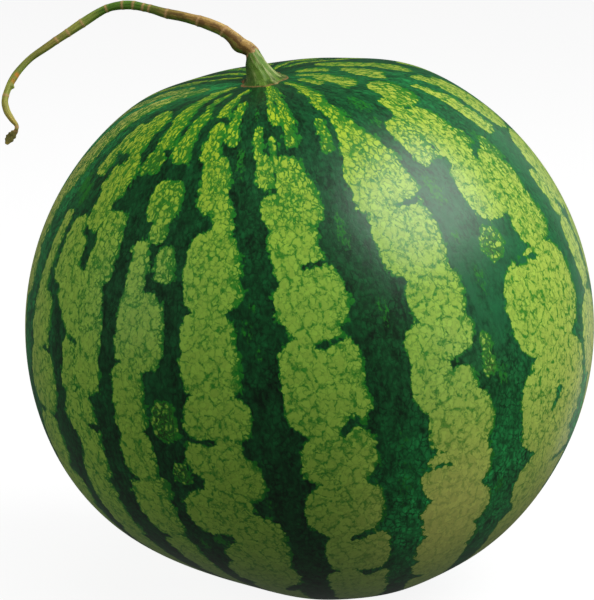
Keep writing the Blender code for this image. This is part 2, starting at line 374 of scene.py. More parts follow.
def ring_angles(sides):
    """The angle of each point of a ring, in radians, as one row."""
    return np.linspace(0, 2 * pi, sides, endpoint=False)[None, :]


def outward_vectors(along, angle):
    """For each ring and angle, the unit vector that points out of the tube."""
    sideways, forward = ring_axes(along)
    return sideways[:, None] * np.cos(angle)[..., None] + forward[:, None] * np.sin(angle)[..., None]


def stacked(*coordinates):
    """One vector for each point from its coordinates, which may be columns and rows."""
    return np.stack(np.broadcast_arrays(*coordinates), axis=-1)


def bell(values, middle, width):
    """1 at the middle, falling to 0 within about two widths on both sides."""
    return np.exp(-(((values - middle) / width) ** 2))


def smooth_step(values, low, high):
    """0 up to low and 1 from high on, smooth between them."""
    share = np.clip((values - low) / (high - low), 0, 1)
    return share * share * (3 - 2 * share)


# ---------------------------------------------------------------- the rind's pattern, vertex by vertex

DEGREE_OF_RIND = FRUIT_RADIUS / MILLIMETRE * pi / 180  # mm along the rind for one degree


def turn_between(angles, middle):
    """How far round the angles lie from the middle, from -180 to 180 degrees."""
    return (angles - middle + CIRCLE / 2) % CIRCLE - CIRCLE / 2


def crown_swirl(polar, around):
    """How far round a band's place is bent near the stalk, in degrees."""
    near = max(0.0, (SWIRL_END - polar) / (SWIRL_END - SWIRL_FULL)) ** 1.5
    return CROWN_SWIRL * cos(radians(around)) * near


def back_blocks():
    """Invented blocks for the back: outside the crown, each has a smaller one against its side."""
    chance = Random(BACK_SEED)
    blocks = []
    for middle, start in BACK_BANDS:
        polar = start + chance.uniform(0, 2)
        while polar < LAST_BLOCK_START:
            near_crown = polar < CROWN_EDGE
            height = chance.uniform(7, 12) if near_crown else chance.uniform(9, 20)
            bottom = min(polar + height, BANDS_END)
            half = chance.uniform(3.5, 5) if near_crown else chance.uniform(4.5, 6.5)
            green = chance.choice((0, 0.1, 0.3, 0.6)) if polar < 60 else chance.choice((0, 0, 0.15))
            top_shift = crown_swirl(polar, middle)
            bottom_shift = crown_swirl(bottom, middle)
            centre = middle + chance.uniform(-1.5, 1.5) + (top_shift + bottom_shift) / 2
            slant = bottom_shift - top_shift
            blocks.append(Block(polar, bottom, centre - half, centre + half, green, slant))
            beside = centre + chance.choice((-1, 1)) * chance.uniform(2, 4)
            drop = chance.uniform(1, 4)
            smaller = half * chance.uniform(0.6, 0.9)
            beside_green = chance.choice((0, 0.2, 0.5))
            if not near_crown:
                left, right = beside - smaller, beside + smaller
                blocks.append(Block(polar + drop, bottom + drop / 2, left, right, beside_green, slant))
            if chance.random() < RARELY:
                island = centre + chance.choice((-1, 1)) * (half + 4)
                blocks.append(Block(polar + 2, bottom - 2, island - 2, island + 2, 1.3, slant))
            gap = chance.uniform(1.0, 2.5) if chance.random() < RARELY else -0.5
            polar = bottom + gap
    return blocks


def all_blocks():
    rows = LEFT_BANDS + FRONT_BANDS + RIGHT_BANDS
    return [Block(*row) for row in rows] + back_blocks()


def block_depth(block, polar, around):
    """How far inside the block each point lies, in mm; it is negative outside."""
    middle = (block.top + block.bottom) / 2
    half_height = (block.bottom - block.top) / 2 + PATCH_OVERLAP
    along = polar - middle
    centre = (block.left + block.right) / 2 + block.slant * along / (block.bottom - block.top)
    narrowing = DEGREE_OF_RIND * sin(radians(middle))
    x = np.abs(turn_between(around, centre)) * narrowing
    y = np.abs(along) * DEGREE_OF_RIND
    half_x = (block.right - block.left) / 2 * narrowing
    half_y = half_height * DEGREE_OF_RIND
    roundness = 1.0 if block.green >= ISLAND_GREEN else PATCH_ROUNDNESS
    corner = roundness * min(half_x, half_y)
    over_x = x - half_x + corner
    over_y = y - half_y + corner
    outside = np.hypot(np.maximum(over_x, 0), np.maximum(over_y, 0))
    return corner - outside - np.minimum(np.maximum(over_x, over_y), 0)


def melted(first, second, melt):
    """The deeper of two depths, rounded where they are alike."""
    closeness = np.maximum(melt - np.abs(first - second), 0) / melt
    return np.maximum(first, second) + closeness**2 * melt / 4


def spur_distance(spur, polar, around):
    """How far outside the dark spur each point lies, in mm; it is negative inside."""
    narrowing = DEGREE_OF_RIND * sin(radians((spur.polar + spur.tip_polar) / 2))
    x = turn_between(around, spur.around) * narrowing
    y = (polar - spur.polar) * DEGREE_OF_RIND
    run_x = (spur.tip_around - spur.around) * narrowing
    run_y = (spur.tip_polar - spur.polar) * DEGREE_OF_RIND
    share = np.clip((x * run_x + y * run_y) / (run_x**2 + run_y**2), 0, 1)
    radius = spur.width / 2 * (1 - 0.75 * share)
    return np.hypot(x - share * run_x, y - share * run_y) - radius


def pattern(polar, around):
    """The rind's pattern at angles in degrees.

    It is the depth in the light and in the green, in mm, the green share, how far a place is on the lee
    side, where the fringe is wide (1) or narrow (-1), and the clouds.
    """
    light = np.full(polar.shape, FAR_OUTSIDE)
    green = np.full(polar.shape, FAR_OUTSIDE)
    weights = np.full(polar.shape, 1e-9)
    shares = np.zeros(polar.shape)
    reach = FRUIT_RADIUS / MILLIMETRE * np.maximum(np.sin(np.radians(polar)), 0.1)
    fringe_turn = np.degrees(FRINGE_SHIFT / reach)
    for block in all_blocks():
        depth = block_depth(block, polar, around)
        light = melted(light, depth, PATCH_MELT)
        green = melted(green, block_depth(block, polar - FRINGE_DROP, around - fringe_turn), PATCH_MELT)
        weight = np.exp(np.clip(depth, -12, 2) / 1.2)
        weights += weight
        shares += weight * block.green
    for row in SPURS:
        away = spur_distance(Spur(*row), polar, around)
        light = np.minimum(light, away)
        green = np.minimum(green, away + SPUR_FRINGE)
    cloud = np.zeros(polar.shape)
    for row in CLOUDS:
        place = Cloud(*row)
        x = turn_between(around, place.around) / place.half_width
        y = (polar - place.polar) / place.half_height
        cloud = np.maximum(cloud, place.strength * np.exp(-((x**2 + y**2) ** 1.5)))
    lee = np.clip(green - light, -FRINGE_SHIFT, FRINGE_SHIFT) / FRINGE_SHIFT
    return light, green, shares / weights, lee, cloud


SKIN_WAIST = 0.5  # the skin's radius at the poles, as a share of the fruit's
SKIN_STRETCH = 0.60  # how long a step from a pole is on the skin, as a share of the step on the fruit


def skin_places(polar, around):
    """Each point's place on a stretched skin, in mm, so that cells grow long and narrow near the poles."""
    reach = np.sqrt(np.sin(polar) ** 2 + SKIN_WAIST**2)
    slope = np.sin(polar) * np.cos(polar) / reach
    nearness = np.minimum(polar, pi - polar)
    stretch = SKIN_STRETCH + (1 - SKIN_STRETCH) * smooth_step(nearness, radians(12), radians(60))
    rise = np.sqrt(np.maximum(stretch**2 - slope**2, 0.05))[:, 0]
    height = np.concatenate(([0], np.cumsum((rise[1:] + rise[:-1]) / 2 * np.diff(polar[:, 0]))))
    places = stacked(reach * np.cos(around), reach * np.sin(around), -height[:, None])
    return places * FRUIT_RADIUS / MILLIMETRE


def rind_grid():
    """The angles of every grid point, from the stalk's pole and round it, in radians."""
    polar = np.linspace(0, pi, RIND_ROWS + 1)
    around = np.linspace(0, 2 * pi, RIND_COLUMNS + 1)[:-1]
    return np.meshgrid(polar, around, indexing="ij")


def rind_points(polar, around):
    """The rind's points in the frame, grooved between the ribs and flat where the fruit rests."""
    upright = stacked(np.sin(polar) * np.cos(around), np.sin(polar) * np.sin(around), np.cos(polar))
    turn = np.array(UP.rotation_difference(STALK_AXIS).to_matrix())
    directions = upright @ turn.T
    groove = RIB_DEPTH * np.sin(2 * polar) ** 2 * (1 - np.cos(RIB_COUNT * around)) / 2
    points = np.array(MIDDLE) + directions * (fruit_radius(directions) - groove)[..., None]
    points[..., 2] = np.maximum(points[..., 2], 0)
    return points


def lamplit_share(points):
    """0 where the rind faces away from the key light, rising to 1 on the side that it lights most: a mask
    for painted light.
    """
    facing = unit(points - np.array(MIDDLE)) @ np.array(LAMPLIT_SIDE.normalized())
    return smooth_step(facing, 0.55, 0.95)


# Where the colour changes, and where painted light brightens it, in degrees from the pole and round it.
BELLY_POLAR, BELLY_AROUND = 115, -66
YELLOW_LIT_LEFT, YELLOW_LIT_RIGHT = -185, -8


def belly_patch(polar, around):
    """1 in the middle of the pale patch low on the right, which has faint veins; part of its paleness is
    painted light from the lower right.
    """
    return bell(turn_between(around, BELLY_AROUND), 0, 15) * bell(polar, BELLY_POLAR, 18)


def yellowed_and_lamplit_mask(polar, around):
    """1 in the middle of the yellower bands, at the fruit's left and right, and in the pale patch. What it
    marks is partly yellowed skin and partly painted light: painted sheen at the two sides and painted light
    from the lower right.
    """
    left = bell(turn_between(around, YELLOW_LIT_LEFT), 0, 22)
    right = bell(turn_between(around, YELLOW_LIT_RIGHT), 0, 38) * (0.45 + 0.55 * smooth_step(polar, 78, 108))
    return left + right + belly_patch(polar, around)


def one_of_each(grid):
    """The grid's rows as one list, with a single point at each pole."""
    return np.concatenate((grid[:1, 0], grid[1:-1].reshape(-1, *grid.shape[2:]), grid[-1:, 0]))


def rind_faces():
    """Quads between the rows and fans at the poles, and the grid place of each of their corners."""
    rows, columns = RIND_ROWS, RIND_COLUMNS
    faces, corners = [], []

    def index(row, column):
        if row == 0:
            return 0
        if row == rows:
            return 1 + (rows - 1) * columns
        return 1 + (row - 1) * columns + column % columns

    for column in range(columns):
        after = column + 1
        for row in range(rows):
            if row == 0:
                places = ((0, column), (1, column), (1, after))
            elif row == rows - 1:
                places = ((row, column), (rows, column), (row, after))
            else:
                places = ((row, column), (row + 1, column), (row + 1, after), (row, after))
            faces.append(tuple(index(*place) for place in places))
            corners.extend((place[0], place[1], column) for place in places)
    return faces, np.array(corners)


MAP_HALF = 0.498  # half the map's width; the rest of a half is its margin


def lay_out_rind(piece, corners):
    """An equal-area map of the rind: the upper half is a diamond, and the lower half its four corners."""
    row, column, face_column = corners.T
    quarter = RIND_COLUMNS // 4
    quadrant = face_column // quarter
    share = column / quarter - quadrant
    height = np.cos(row / RIND_ROWS * pi)
    reach = np.sqrt(1 - np.abs(height))
    across, up = reach * (1 - share), reach * share
    lower = height < -1e-9
    across, up = np.where(lower, 1 - up, across), np.where(lower, 1 - across, up)
    turn_cos, turn_sin = np.round(np.cos(quadrant * pi / 2)), np.round(np.sin(quadrant * pi / 2))
    u = across * turn_cos - up * turn_sin
    v = across * turn_sin + up * turn_cos
    layer = piece.data.uv_layers.new(name="OFBake")
    places = np.stack((u, v), axis=-1) * MAP_HALF + 0.5
    layer.data.foreach_set("uv", places.astype(np.float32).ravel())


# ---------------------------------------------------------------- shader maths


class Wire:
    """An output of a node tree. Arithmetic on wires adds the nodes that work it out."""

    def __init__(self, recipe, socket):
        self.recipe = recipe
        self.socket = socket

    def _math(self, operation, first, second):
        kind = "ShaderNodeVectorMath" if is_vector(first) or is_vector(second) else "ShaderNodeMath"
        return self.recipe.node(kind, {"operation": operation}, {0: first, 1: second})

    def __add__(self, other):
        return self._math("ADD", self, other)

    __radd__ = __add__

    def __sub__(self, other):
        return self._math("SUBTRACT", self, other)

    def __rsub__(self, other):
        return self._math("SUBTRACT", other, self)

    def __mul__(self, other):
        return self._math("MULTIPLY", self, other)

    __rmul__ = __mul__

    def at_least(self, other):
        return self._math("MAXIMUM", self, other)

    def at_most(self, other):
        return self._math("MINIMUM", self, other)

    def ramp(self, low, high):
        """0 below low and 1 above high, smooth between them."""
        sockets = {"Value": self, 1: low, 2: high}
        return self.recipe.node("ShaderNodeMapRange", {"interpolation_type": "SMOOTHSTEP"}, sockets)


def is_vector(value):
    if isinstance(value, Wire):
        return value.socket.type in {"VECTOR", "RGBA"}
    return isinstance(value, (tuple, Color))


class Recipe:
    """A material and the node tree behind its Principled shader."""

    def __init__(self, name):
        self.material = bpy.data.materials.new(name)
        self.material.use_nodes = True
        self.tree = self.material.node_tree
        self.shader = self.tree.nodes["Principled BSDF"]

    def node(self, kind, settings=None, sockets=None, output=0):
        """Adds a node: first its settings, then the values or wires of its sockets."""
        node = self.tree.nodes.new(kind)
        for name, value in (settings or {}).items():
            if name == "stops":
                self._set_stops(node.color_ramp, value)
            else:
                setattr(node, name, value)
        for name, value in (sockets or {}).items():
            self.plug(node.inputs[name], value)
        return Wire(self, node.outputs[output])

    def plug(self, socket, value):
        if isinstance(value, Wire):
            self.tree.links.new(value.socket, socket)
        elif socket.type == "RGBA":
            socket.default_value = (*value, 1)
        else:
            socket.default_value = value

    @staticmethod
    def _set_stops(ramp, stops):
        while len(ramp.elements) < len(stops):
            ramp.elements.new(1.0)
        for element, (place, colour) in zip(ramp.elements, stops):
            element.position = place
            element.color = (*colour, 1)

    def stored(self, name, output="Fac"):
        """The number that keep() stored for each vertex, or the vector with the output of that name."""
        return self.node("ShaderNodeAttribute", {"attribute_name": name}, output=output)

    def noise(self, place, size, detail=2.0, roughness=0.5, output="Fac"):
        """Cloudy noise of about 0 to 1 whose lumps are of that size, in the place's own units."""
        sockets = {"Vector": place, "Scale": 1 / size, "Detail": detail, "Roughness": roughness}
        return self.node("ShaderNodeTexNoise", None, sockets, output)

    def cells(self, place, size, feature="F1", output="Distance"):
        """Cells of about that size: the distance from a cell's middle or edge, or a colour for each."""
        sockets = {"Vector": place, "Scale": 1 / size}
        return self.node("ShaderNodeTexVoronoi", {"feature": feature}, sockets, output)

    def blend(self, share, first, second):
        """The first colour where share is 0 and the second where it is 1."""
        return self.node("ShaderNodeMix", {"data_type": "RGBA"}, {0: share, 6: first, 7: second}, 2)

    def dimmed(self, colour, amount):
        """The colour times a number."""
        return self.node("ShaderNodeVectorMath", {"operation": "SCALE"}, {0: colour, "Scale": amount})

    def bump(self, height, strength, distance):
        """A normal that follows the height; the distance is in metres."""
        sockets = {"Height": height, "Strength": strength, "Distance": distance}
        return self.node("ShaderNodeBump", None, sockets, "Normal")

    def finish(self, piece, colour, roughness, specular, extra=None):
        """Plugs the surface into the shader and gives the material to the piece."""
        sockets = {"Base Color": colour, "Roughness": roughness, "Specular IOR Level": specular}
        for name, value in (sockets | (extra or {})).items():
            self.plug(self.shader.inputs[name], value)
        piece.data.materials.append(self.material)


# ---------------------------------------------------------------- what a user can change


def colour_property(name, description, default):
    return bpy.props.FloatVectorProperty(
        name=name, description=description, default=default, size=3, subtype="COLOR", min=0, max=1
    )


def length_property(name, description, millimetres):
    length = millimetres * MILLIMETRE
    return bpy.props.FloatProperty(
        name=name, description=description, default=length, unit="LENGTH", precision=5, min=0
    )


def power_property(name, description, watts):
    return bpy.props.FloatProperty(name=name, description=description, default=watts, unit="POWER", min=0)


class RindLook(bpy.types.PropertyGroup):
    dark: colour_property("Dark stripe", "The stripes between the patches", (0.003, 0.050, 0.011))
    green: colour_property("Mid-green", "Veins, fringes and islands", (0.016, 0.240, 0.016))
    light: colour_property("Light patch", "The cells of the light patches", (0.345, 0.615, 0.068))
    crown: colour_property("Crown patch", "The light patches near the stalk", (0.510, 0.700, 0.022))
    dull: colour_property("Dull patch", "The light patches near the floor", (0.380, 0.610, 0.120))
    # Partly the skin's own yellow and partly painted light, at the sides and low on the right.
    ripe: colour_property("Yellowed patch", "The light patches of yellower bands", (0.780, 0.790, 0.190))
    # The colour of the painted sheen that lies on the dark stripes towards the key light.
    sheen: colour_property("Waxy bloom", "The dark stripes on the sunny side", (0.012, 0.170, 0.058))
    cell_size: length_property("Cell size", "Width of one light cell", 2.9)
    vein_width: length_property("Vein width", "Width of the widest fine veins", 0.9)
    roughness: bpy.props.FloatProperty(
        name="Roughness", description="How dull the waxy skin is", default=0.30, subtype="FACTOR",
        min=0, max=1,
    )


class VineLook(bpy.types.PropertyGroup):
    stalk: colour_property("Stalk", "The green cone on the crown", (0.150, 0.290, 0.035))
    # Its streaks show most on the stalk's lit side, so they are partly painted light.
    stalk_pale: colour_property("Stalk ridges", "The pale streaks along the stalk", (0.440, 0.510, 0.190))
    cork: colour_property("Cork", "The stalk's rim and joint", (0.430, 0.190, 0.080))
    tan: colour_property("Tan stem", "The dried upper side near the stalk", (0.420, 0.250, 0.065))
    green: colour_property("Green stem", "The living middle of the stem", (0.120, 0.260, 0.030))
    olive: colour_property("Olive stem", "Between the stem's colours", (0.280, 0.250, 0.048))
    lime: colour_property("Lime stem", "The younger far end of the stem", (0.350, 0.390, 0.075))
    yellow: colour_property("Yellow stem", "The bend before the withered tip", (0.560, 0.440, 0.090))
    withered: colour_property("Withered leaf", "The dried leaf at the end", (0.160, 0.145, 0.036))


class StageLook(bpy.types.PropertyGroup):
    floor: colour_property("Floor", "The pale floor", (0.20, 0.20, 0.20))
    floor_glow: bpy.props.FloatProperty(
        name="Floor glow", description="Keeps the floor evenly pale", default=0.90, min=0
    )
    key_power: power_property("Key light", "The soft light above, which the gloss mirrors", 32)
    side_power: power_property("Side lights", "The light overhead; the left and right ones follow", 8.5)
    rim_power: power_property("Rim light", "The tall light behind on the right", 1.0)
    lens: bpy.props.FloatProperty(
        name="Lens", description="Focal length in mm", default=176.7, unit="CAMERA", min=1
    )
    distance: bpy.props.FloatProperty(
        name="Distance", description="From the camera to the fruit's middle", default=1.3,
        unit="LENGTH", min=0.1,
    )


# ---------------------------------------------------------------- the pieces


SCAR_BROWN = (0.20, 0.13, 0.06)


def rind_material(piece, look):
    """Dark stripes, mid-green fringes and light cells that crowd together between fine broken veins."""
    recipe = Recipe("waxy_striped_rind")
    cell_size = look.cell_size / MILLIMETRE
    clump_size = cell_size * 2.3
    vein_width = look.vein_width / MILLIMETRE
    skin = recipe.stored("skin", output="Vector")
    polar = recipe.stored("polar")
    green_share = recipe.stored("green_share")

    # Cells and clumps of cells, their sides made crooked by two sizes of wobble.
    broad_wobble = recipe.noise(skin, 5.0, output="Color") - (0.5, 0.5, 0.5)
    fine_wobble = recipe.noise(skin, 1.7, output="Color") - (0.5, 0.5, 0.5)
    crooked = skin + broad_wobble * (3.4, 3.4, 3.4) + fine_wobble * (2.6, 2.6, 2.6)
    cell_edge = recipe.cells(crooked, cell_size, "DISTANCE_TO_EDGE") * cell_size
    cell_colour = recipe.cells(crooked, cell_size, output="Color")
    cell_luck = recipe.node("ShaderNodeSeparateColor", None, {0: cell_colour}) - 0.5
    clump_edge = recipe.cells(crooked, clump_size, "DISTANCE_TO_EDGE") * clump_size
    patchy = recipe.noise(skin, 5.0)
    grain = recipe.noise(skin, 0.9, detail=3)

    # Where a place is, in mm inside the light and the green, once whole cells have pushed the edge about.
    crownness = 1 - polar.ramp(0.08, 0.36)
    lobes = (0.42 - recipe.cells(skin + broad_wobble * (2.0, 2.0, 2.0), cell_size * 1.45)) * 2.0
    bulge = (cell_edge - 0.3) * 0.9 + cell_luck * 0.9 + lobes
    drift = (recipe.noise(skin, 8.0) - 0.5) * 3.0
    light_depth = recipe.stored("light_depth") + bulge + drift - 0.60 - crownness * 0.10
    green_depth = recipe.stored("green_depth") + bulge + drift + (patchy - 0.5) * 5 - 0.9
    in_light = light_depth.ramp(-0.05, 0.4)
    in_green = green_depth.at_least(light_depth + 0.75).ramp(0.0, 0.6)

    # Light cells stand on a green ground, which shows as thin veins where the cells are large.
    fading = polar.ramp(0.55, 0.78)
    near_edge = 1 - light_depth.ramp(0.3, 3.0)
    crumbs = (recipe.noise(skin, 1.5, detail=3, roughness=0.6) - 0.5) * 1.9
    ground = (recipe.noise(skin, 3.0, detail=3) - 0.46).at_least(0) * 2.2
    ground = ground + green_share * 0.55 + near_edge * (0.06 + recipe.stored("lee") * 0.36)
    ground = (ground + crownness * 0.24) * (1 - fading * 0.5)
    cell = (cell_edge + crumbs - ground * vein_width * 0.8).ramp(-0.20, 0.30)
    clump_width = (recipe.noise(skin, 3.2, detail=3) - 0.40).at_least(0) * 4.4
    clump_vein = 1 - (clump_edge + crumbs).ramp(clump_width * 0.2 - 0.30, clump_width + 0.20)
    strength = 0.38 + crownness * 0.50 + ground + (patchy - 0.5) * 1.3
    vein = (1 - cell) * strength.at_most(0.95)
    vein = vein.at_least(clump_vein * 0.95) * (1 - fading * 0.45) * (1 - recipe.stored("belly") * 0.6)

    # The light patches are yellower by the stalk and at the sides, and duller near the floor. Part of the
    # yellow is painted light: it spreads towards the key light, at the two sides it is painted sheen, and
    # low on the right it is painted light from that side.
    sunny = recipe.stored("sunny")
    ripe = recipe.stored("ripe").at_most(1.0)
    light = recipe.blend(fading, look.light, look.dull)
    light = recipe.blend(crownness.at_least(sunny * 0.20), light, look.crown)
    light = recipe.blend(ripe * 0.75, light, look.ripe)
    light = recipe.dimmed(light, (cell_luck * 0.16 + 1.0) * (0.86 + grain * 0.28))
    mid_green = recipe.dimmed(look.green, 0.55 + recipe.noise(skin, 1.6, detail=3) * 0.9)

    # The dark stripes are mottled and scaly, with specks in the clouds. At the sides and low on the right
    # they are painted lighter and scalier, and towards the key light a painted teal sheen covers them.
    streaks = recipe.noise(skin * (1.0, 1.0, 0.5), 1.7, detail=4, roughness=0.6)
    broad = recipe.noise(skin * (1.0, 1.0, 0.4), 7.0)
    mottling = (streaks - 0.42).at_least(0) * 4.2 + (broad - 0.35).at_least(0) * 2.2
    scales = (cell_edge + crumbs * 0.2).ramp(0.0, 0.6) * (patchy - 0.30).at_least(0) * (2.6 + ripe * 5.0)
    dark = recipe.dimmed(look.dark, (0.25 + mottling + scales * 1.2) * (1 + ripe * 2.4))
    sheen_patches = 0.35 + (streaks + broad - 0.45).ramp(0.25, 0.75) * 0.65
    sheen = sunny.ramp(0.10, 0.75) * (1 - crownness * 0.85) * sheen_patches
    dark = recipe.blend(sheen * 0.75, dark, look.sheen)
    cloud = recipe.stored("cloud")
    specks = recipe.noise(skin * (1.0, 1.0, 0.6), 1.3, detail=3)
    speckled = (specks + cloud * 0.55).ramp(0.68, 0.88) * cloud.ramp(0.02, 0.30)
    dark = recipe.blend(speckled * 0.9, dark, mid_green)

    # From dark to green to light; thin dark lines part the cells of the fringe and of the green islands.
    cell_gap = cell_edge + crumbs * 0.3
    shaded = (1 - cell_gap.ramp(0.05, 0.5)) * 0.7 * (1 - light_depth.ramp(-1.2, -0.4))
    fringe = recipe.blend(shaded, mid_green, dark)
    lines = (1 - cell_gap.ramp(0.0, 0.4)) * (green_share - 0.5).at_least(0)
    patch = recipe.blend(vein, light, recipe.blend(lines, mid_green, dark))
    colour = recipe.blend(in_green, dark, fringe)
    colour = recipe.blend(in_light, colour, patch)
    blossom_scar = polar.ramp(0.9815, 0.9880)
    colour = recipe.blend(blossom_scar, colour, SCAR_BROWN)

    dips = cell_edge.at_most(0.8) * 0.2 + recipe.noise(skin, 0.7) * 0.2 + patchy * 0.8
    roughness = look.roughness + recipe.noise(skin, 4.0, detail=3) * 0.12 - in_light * 0.03
    recipe.finish(piece, colour, roughness, 0.6, {"Normal": recipe.bump(dips, 0.2, 0.0004)})


class WatermelonRind(bpy.types.Operator):
    """Build the fruit's rind with its striped pattern"""

    bl_idname = "object.watermelon_rind"
    bl_label = "Rind"

    def execute(self, context):
        grid = rind_grid()
        polar, around = np.degrees(grid)
        faces, corners = rind_faces()
        points = rind_points(*grid)
        piece = new_piece("rind", one_of_each(points), faces, "fruit")
        lay_out_rind(piece, corners)
        light, green, share, lee, cloud = pattern(polar, around)
        fields = {
            "skin": skin_places(*grid),
            "light_depth": light,
            "green_depth": green,
            "green_share": share,
            "lee": lee,
            "cloud": cloud,
            "polar": polar / (CIRCLE / 2),
            # The next two masks are painted light, the second only in part.
            "sunny": lamplit_share(points),
            "ripe": yellowed_and_lamplit_mask(polar, around),
            "belly": belly_patch(polar, around),
        }
        for name, values in fields.items():
            keep(piece, name, one_of_each(values))
        rind_material(piece, context.scene.watermelon_rind)
        return {"FINISHED"}


STALK_SIDES = 128
STALK_RINGS = 64
STALK_BOW = 0.9  # how far the stalk bows to the left half-way up, in mm
RIDGE_SWELL = 0.12  # how far a ridge stands out at the foot, as a share of the radius

# Ridges run up the stalk: the angle of each from its right side round by its front and its width, in
# degrees, and its strength.
RIDGES = (
    (20, 13, 0.9), (58, 9, 0.75), (86, 8, 0.55), (118, 12, 0.45), (160, 14, 0.8), (205, 13, 0.6),
    (252, 14, 0.9), (305, 15, 0.8),
)
STALK_JOINT = len(STALK_ROUTE) * STEPS_A_STRETCH  # the row of vine_path() where the stalk ends
STEM_NECK = STALK_JOINT + len(STEM_ROUTE) * STEPS_A_STRETCH  # and the one where the stem does


def stalk_shape():
    """The stalk's rings of points, its two end points, and what its material reads."""
    path = vine_path()
    stem_direction = unit(path[STALK_JOINT + 1, :3] - path[STALK_JOINT, :3])
    path, _ = evenly(path[: STALK_JOINT + 1], 0.1)
    share = np.linspace(0, 1, STALK_RINGS) ** 1.5
    even = np.linspace(0, 1, len(path))
    centres = np.stack([np.interp(share, even, column) for column in path[:, :3].T], axis=1)
    centres[:, 0] -= STALK_BOW * np.sin(pi * share)
    axis = np.array(STALK_AXIS)
    along = unit(axis + share[:, None] * (stem_direction - axis))
    heights, radii = np.array(STALK_PROFILE).T
    radii = np.interp(share, heights / heights[-1], radii)
    radii = np.convolve(np.pad(radii, 2, mode="edge"), np.ones(5) / 5, mode="valid")[:, None]
    share = share[:, None]
    angle = ring_angles(STALK_SIDES)

    # The ridges wander and twist as they rise, and fade towards the joint.
    turned = np.degrees(angle) + 9 * np.sin(5 * share) - 10 * share
    ridge = np.zeros((STALK_RINGS, STALK_SIDES))
    for place, width, strength in RIDGES:
        ridge += strength * bell(turn_between(turned, place), 0, width)
    swell = RIDGE_SWELL * (1 - 0.6 * share) * ridge
    wavy = 0.018 * np.sin(11 * share + 2 * angle) + 0.012 * np.sin(23 * share - 3 * angle)
    lip = 0.05 * np.sin(5 * angle + 1) * bell(share, 0, 0.05)
    reach = radii * (0.95 + swell + wavy + lip)
    points = centres[:, None] + outward_vectors(along, angle) * reach[..., None]

    # The foot follows the fruit, a little below its skin, and the rings above stay clear of it.
    skin = fruit_radius(unit(points)) / MILLIMETRE
    distance = np.linalg.norm(points, axis=-1)
    seated = np.where(share == 0, skin - 0.15, np.maximum(distance, skin + 6 * share**1.5))
    points = unit(points) * seated[..., None]
    fields = {
        "height": share,
        "ridge": ridge,
        # Painted light: 1 on the side of the stalk that faces the key light, on its right and front, and 0
        # in its shade.
        "sunlit": 0.5 + 0.5 * np.cos(angle - radians(35)),
        "bark": stacked(share * 13, np.cos(angle) * 5, np.sin(angle) * 5),
    }
    return points, (centres[0] - axis * 0.2, centres[-1]), fields


# The first is the painted shade on the stalk's left and back; the other two are its own colours.
STALK_SHADE = (0.045, 0.105, 0.022)
STALK_OLIVE = (0.20, 0.21, 0.05)
STALK_FOOT_GREEN = (0.035, 0.095, 0.014)


def stalk_material(piece, look):
    """Green skin with pale ridges, a corky rim where it grows from the fruit and a brown joint above."""
    recipe = Recipe("ridged_green_stalk")
    bark = recipe.stored("bark", output="Vector")
    height = recipe.stored("height")
    sunlit = recipe.stored("sunlit")
    streaks = recipe.noise(bark * (0.14, 1.0, 1.0), 0.75, detail=3)
    mottle = recipe.noise(bark, 2.2, detail=4, roughness=0.6)
    fine = recipe.noise(bark, 0.5, detail=3)

    # Painted light and shade: the green is lit on the right and front and painted dark on the left and back,
    # and the pale ridges show most on the lit side.
    green = recipe.blend(sunlit.ramp(0.15, 0.95), STALK_SHADE, look.stalk)
    green = recipe.dimmed(green, 0.5 + mottle)
    pale = (recipe.stored("ridge") * 0.5 + streaks * 1.4 + sunlit * 0.30).ramp(1.10, 1.50)
    colour = recipe.blend(pale * 0.9, green, look.stalk_pale)
    olive = (mottle + streaks * 0.5).ramp(0.80, 0.98)
    colour = recipe.blend(olive * 0.5, colour, STALK_OLIVE)

    foot = 1 - height.ramp(0.05, 0.24)
    blotches = recipe.noise(bark, 1.1, detail=3).ramp(0.44, 0.56)
    colour = recipe.blend(foot * blotches * 0.85, colour, STALK_FOOT_GREEN)
    rim = 1 - (height + (mottle - 0.5) * 0.07 + sunlit * 0.03).ramp(0.012, 0.07)
    colour = recipe.blend(rim * 0.9, colour, recipe.dimmed(look.cork, 0.35 + fine))
    ragged = recipe.noise(bark * (0.5, 1.0, 1.0), 2.4, detail=3) - 0.5
    joint = (height + ragged * 0.45).ramp(0.88, 1.02)
    colour = recipe.blend(joint * 0.85, colour, recipe.dimmed(look.cork, 0.5 + streaks))
    colour = recipe.dimmed(colour, 0.80 + fine * 0.4)
    normal = recipe.bump(streaks * 0.8 + fine * 0.35, 0.6, 0.0004)
    recipe.finish(piece, colour, 0.42 + mottle * 0.2 + rim * 0.2, 0.35, {"Normal": normal})


class WatermelonStalk(bpy.types.Operator):
    """Build the ribbed green stalk on the crown"""

    bl_idname = "object.watermelon_stalk"
    bl_label = "Stalk"

    def execute(self, context):
        piece = new_tube("stalk_cone", "stalk", "stalk_green", *stalk_shape())
        stalk_material(piece, context.scene.watermelon_vine)
        return {"FINISHED"}


STEM_SIDES = 40
STEM_SPACING = 0.35
STEM_OVERLAP = 4  # rows of the path by which the stem reaches down into the stalk

# Places along the stem, in mm from its start: a swelling under it, a thorn, and two scars.
SWELLING_AT = 8.0
THORN_AT = 128.0
SCARS_AT = (122.3, 125.6)


